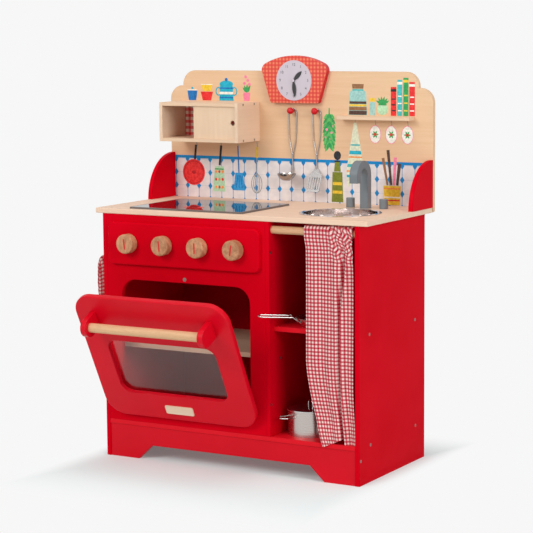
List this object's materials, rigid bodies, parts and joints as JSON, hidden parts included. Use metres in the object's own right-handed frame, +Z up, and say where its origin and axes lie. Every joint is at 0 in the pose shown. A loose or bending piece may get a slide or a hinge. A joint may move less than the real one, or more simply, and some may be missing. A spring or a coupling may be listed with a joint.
{
  "type": "toy kitchen",
  "caption": "Red wooden toy kitchen with a drop-down oven door, turning knobs and taps, hob, sink, curtain, wall cupboard, clock, hanging utensils and pans",
  "frame": {"origin": "middle of the bounding box's footprint at floor level, with the oven door resting ajar", "axes": "+X to the right seen from the front, +Y to the backboard, +Z up"},
  "size_m": [0.6, 0.446, 0.7875],
  "materials": {
    "red_paint": "satin",
    "bare_wood": "matte",
    "beech": "satin",
    "grey_paint": "satin",
    "hob_glass": "gloss",
    "smoked_glass": "gloss",
    "steel": "polished",
    "sheet_steel": "brushed",
    "lid_glass": "satin",
    "zinc": "satin",
    "black_plastic": "matte",
    "white_plastic": "satin",
    "gingham": "woven"
  },
  "bodies": {
    "cabinet": {"left_side_panel": "red_paint", "right_side_panel": "red_paint", "divider_panel": "red_paint", "base_board": "red_paint", "cabinet_back_panel": "red_paint", "kick_board": "red_paint", "front_panel": "red_paint", "control_plate": "red_paint", "compartment_shelf": "red_paint", "oven_shelf": "bare_wood", "worktop": "bare_wood", "cooktop": "hob_glass", "sink_bowl": "sheet_steel", "tap_spout": "grey_paint", "tap_pins": "beech", "backboard": "bare_wood", "cheeks": "red_paint", "cupboard_top": "bare_wood", "cupboard_bottom": "bare_wood", "cupboard_ends": "bare_wood", "wall_shelf": "bare_wood", "utensil_pegs": "red_paint", "clock_body": "red_paint", "clock_dial": "white_plastic", "clock_pin": "white_plastic", "knob_spindles": "beech", "door_magnet": "zinc", "hinge_fixed_leaves": "zinc", "hinge_pins": "zinc", "curtain_rod": "beech", "screws": "zinc", "worktop_dowels": "beech", "mitt_peg": "beech"},
    "oven_door": {"door_panel": "red_paint", "door_window": "smoked_glass", "door_handle_bar": "beech", "door_handle_brackets": "red_paint", "door_badge": "bare_wood", "door_strike_disc": "zinc", "hinge_door_leaves": "zinc", "door_screws": "zinc"},
    "knob_1": {"knob_1": "beech"},
    "knob_2": {"knob_2": "beech"},
    "knob_3": {"knob_3": "beech"},
    "knob_4": {"knob_4": "beech"},
    "hot_tap": {"hot_tap": "grey_paint"},
    "cold_tap": {"cold_tap": "grey_paint"},
    "cupboard_door": {"cupboard_door": "bare_wood"},
    "hour_hand": {"hour_hand": "black_plastic"},
    "minute_hand": {"minute_hand": "black_plastic"},
    "ladle": {"ladle": "steel"},
    "turner": {"turner": "steel"},
    "pan": {"pan": "sheet_steel", "pan_handle": "steel"},
    "pot": {"pot": "sheet_steel", "pot_handles": "steel"},
    "pot_lid": {"pot_lid": "lid_glass"},
    "curtain": {"curtain": "gingham"},
    "mitt": {"mitt": "gingham"}
  },
  "joints": [
    {"name": "oven_door_hinge", "type": "hinge", "parent": "cabinet", "child": "oven_door", "pos_m": [-0.0945, -0.0665, 0.095], "axis": [1, 0, 0], "range_deg": [-26.8, 63.2]},
    {"name": "knob_1_turn", "type": "hinge", "parent": "cabinet", "child": "knob_1", "pos_m": [-0.2145, -0.085, 0.4295], "axis": [0, -1, 0], "continuous": true},
    {"name": "knob_2_turn", "type": "hinge", "parent": "cabinet", "child": "knob_2", "pos_m": [-0.1345, -0.085, 0.4295], "axis": [0, -1, 0], "continuous": true},
    {"name": "knob_3_turn", "type": "hinge", "parent": "cabinet", "child": "knob_3", "pos_m": [-0.0545, -0.085, 0.4295], "axis": [0, -1, 0], "continuous": true},
    {"name": "knob_4_turn", "type": "hinge", "parent": "cabinet", "child": "knob_4", "pos_m": [0.0255, -0.085, 0.4295], "axis": [0, -1, 0], "continuous": true},
    {"name": "hot_tap_turn", "type": "hinge", "parent": "cabinet", "child": "hot_tap", "pos_m": [0.1525, 0.1515, 0.504], "axis": [0, 0, 1], "continuous": true},
    {"name": "cold_tap_turn", "type": "hinge", "parent": "cabinet", "child": "cold_tap", "pos_m": [0.2245, 0.1515, 0.504], "axis": [0, 0, 1], "continuous": true},
    {"name": "cupboard_door_slide", "type": "slide", "parent": "cabinet", "child": "cupboard_door", "axis": [-1, 0, 0], "range_m": [0, 0.0729]},
    {"name": "hour_hand_turn", "type": "hinge", "parent": "cabinet", "child": "hour_hand", "pos_m": [0, 0.2, 0.73825], "axis": [0, -1, 0], "continuous": true},
    {"name": "minute_hand_turn", "type": "hinge", "parent": "cabinet", "child": "minute_hand", "pos_m": [0, 0.2, 0.73825], "axis": [0, -1, 0], "continuous": true},
    {"name": "ladle_lift_off", "type": "slide", "parent": "cabinet", "child": "ladle", "axis": [0, -0.8762, 0.4819], "range_m": [0, 0.16]},
    {"name": "turner_lift_off", "type": "slide", "parent": "cabinet", "child": "turner", "axis": [0, -0.8762, 0.4819], "range_m": [0, 0.16]},
    {"name": "pan_draw_out", "type": "slide", "parent": "cabinet", "child": "pan", "axis": [0, -1, 0], "range_m": [0, 0.25]},
    {"name": "pot_draw_out", "type": "slide", "parent": "cabinet", "child": "pot", "axis": [0, -1, 0], "range_m": [0, 0.2]},
    {"name": "pot_lid_lift", "type": "slide", "parent": "pot", "child": "pot_lid", "axis": [0, 0, 1], "range_m": [0, 0.12]},
    {"name": "curtain_draw", "type": "slide", "parent": "cabinet", "child": "curtain", "axis": [-1, 0, 0], "range_m": [0, 0.065], "deforming": ["curtain"]},
    {"name": "mitt_lift_off", "type": "slide", "parent": "cabinet", "child": "mitt", "axis": [-1, 0, 0], "range_m": [0, 0.06]}
  ]
}
